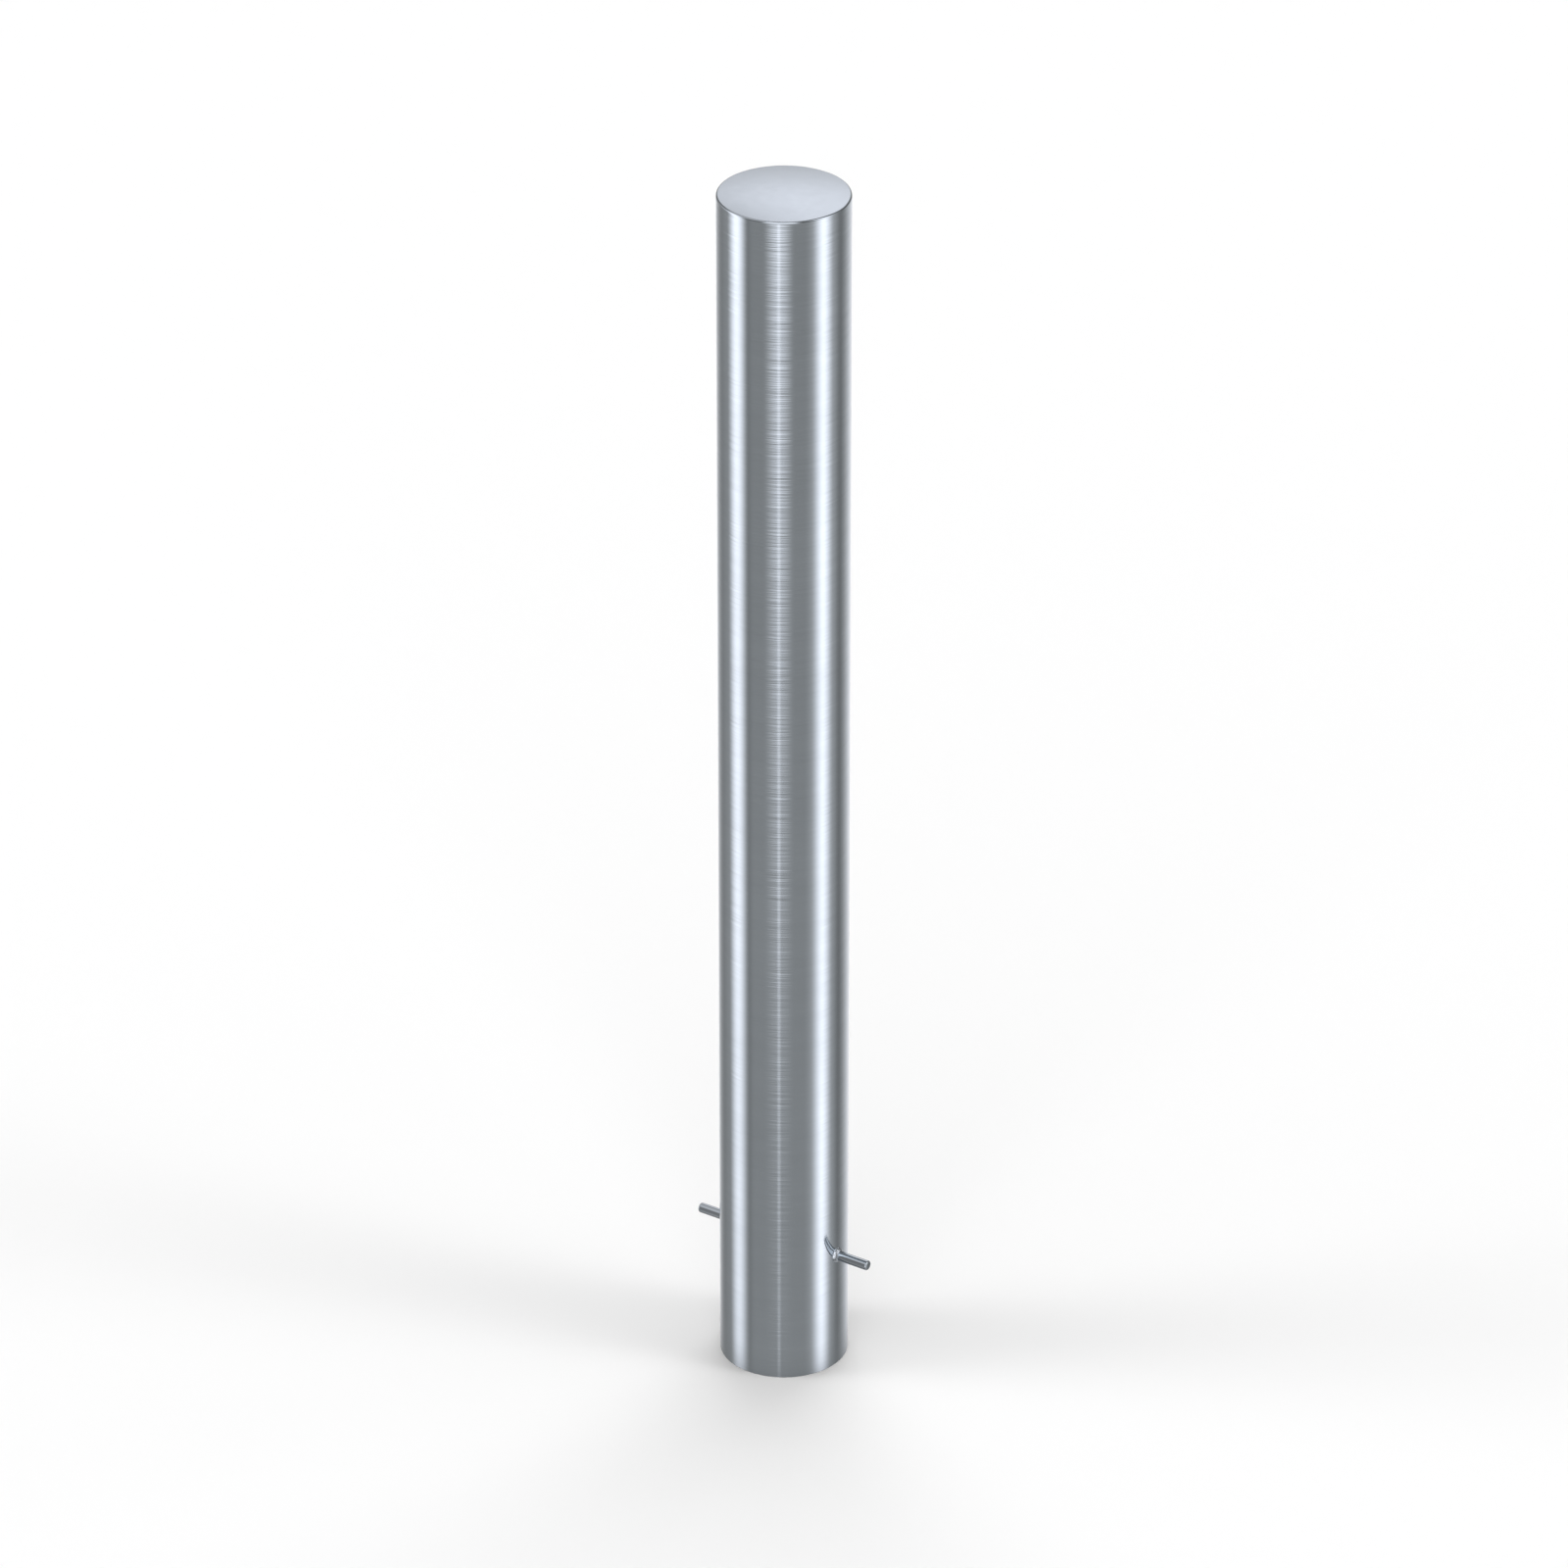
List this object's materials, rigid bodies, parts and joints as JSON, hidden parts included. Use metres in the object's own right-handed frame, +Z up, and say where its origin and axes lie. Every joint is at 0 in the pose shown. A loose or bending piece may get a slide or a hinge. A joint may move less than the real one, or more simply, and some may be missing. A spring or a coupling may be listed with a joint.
{
  "type": "fixed bollard",
  "caption": "Round stainless-steel bollard post with a shallow domed cap, an open foot and a horizontal round anchor bar through the foot, to be set in concrete.",
  "frame": {"origin": "centre of the tube's lower end, on the plane of its sawn foot", "axes": "+Z up along the tube's axis, +X along the anchor bar"},
  "size_m": [0.16, 0.1016, 1.012],
  "materials": {
    "tube_steel": "brushed, with fine lines round the tube",
    "cap_steel": "fine satin",
    "bar_steel": "drawn, smooth",
    "weld_steel": "bright weld, brushed clean"
  },
  "bodies": {
    "root": {"post_tube": "tube_steel", "domed_cap": "cap_steel", "anchor_bar": "bar_steel", "anchor_weld_right": "weld_steel", "anchor_weld_left": "weld_steel"}
  },
  "joints": []
}
